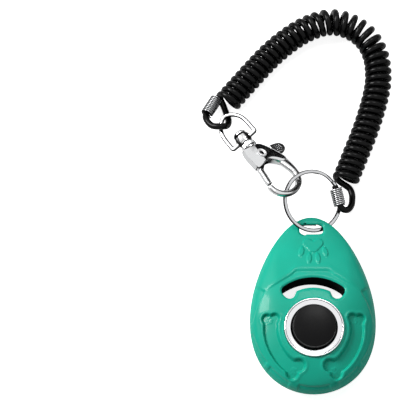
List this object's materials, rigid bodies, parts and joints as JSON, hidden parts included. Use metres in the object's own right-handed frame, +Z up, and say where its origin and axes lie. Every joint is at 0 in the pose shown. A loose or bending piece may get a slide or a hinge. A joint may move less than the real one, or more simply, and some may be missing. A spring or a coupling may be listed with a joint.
{
  "type": "clicker trainer",
  "caption": "Egg-shaped hand clicker with a push button in a polished ring, and a coiled wrist cord on a split ring and swivel clasp.",
  "frame": {"origin": "on the surface the body lies on, under the axis of the push button", "axes": "+Z up out of the button's face, +Y from the button towards the eyelet and the cord, +X to the right seen from above"},
  "size_m": [0.0721, 0.149, 0.0172],
  "materials": {
    "teal_plastic": "satin moulded plastic",
    "teal_plastic_back": "satin moulded plastic",
    "polished_trim": "polished",
    "button_gloss": "high gloss",
    "spring_steel": "bright rolled",
    "zinc_screw": "zinc plated",
    "ring_steel": "nickel plated",
    "clasp_chrome": "nickel plated",
    "cord_plastic": "glossy extruded cord",
    "sleeve_steel": "plated spring wire"
  },
  "bodies": {
    "housing": {"front_shell": "teal_plastic", "rear_shell": "teal_plastic_back", "trim_ring": "polished_trim", "click_plate": "spring_steel", "plate_screw": "zinc_screw", "housing_screws": "zinc_screw"},
    "button": {"button": "button_gloss"},
    "ring": {"split_ring": "ring_steel", "cord_loop_lower": "cord_plastic", "sleeve_lower": "sleeve_steel", "wrist_coil": "cord_plastic"},
    "clasp": {"clasp_hook": "clasp_chrome", "clasp_rivet": "clasp_chrome", "swivel_stud": "clasp_chrome"},
    "lever": {"clasp_lever": "clasp_chrome", "lever_spring": "spring_steel"},
    "eye": {"swivel_eye": "clasp_chrome", "cord_loop_upper": "cord_plastic", "sleeve_upper": "sleeve_steel"}
  },
  "joints": [
    {"name": "button_press", "type": "slide", "parent": "housing", "child": "button", "axis": [0, 0, -1], "range_m": [0, 0.0015], "stiffness_N_per_m": 2200, "springref_m": -0.0004, "deforming": ["click_plate"]},
    {"name": "ring_swing", "type": "hinge", "parent": "housing", "child": "ring", "pos_m": [0.0006, 0.03869, 0.005], "axis": [0, 0, 1], "range_deg": [-10, 10]},
    {"name": "clasp_fold", "type": "hinge", "parent": "ring", "child": "clasp", "pos_m": [-0.0079, 0.05486, 0.01122], "axis": [0.5031, 0.8642, -0.008], "range_deg": [0, 30], "deforming": ["wrist_coil"]},
    {"name": "lever_open", "type": "hinge", "parent": "clasp", "child": "lever", "pos_m": [-0.01876, 0.06616, 0.00934], "axis": [0.3525, 0.4518, 0.8195], "range_deg": [0, 25], "stiffness_Nm_per_rad": 0.02, "springref_deg": -14.32},
    {"name": "eye_swivel", "type": "hinge", "parent": "clasp", "child": "eye", "pos_m": [-0.02488, 0.07292, 0.00825], "axis": [0.5756, -0.7952, 0.1908], "range_deg": [-25, 25]}
  ]
}
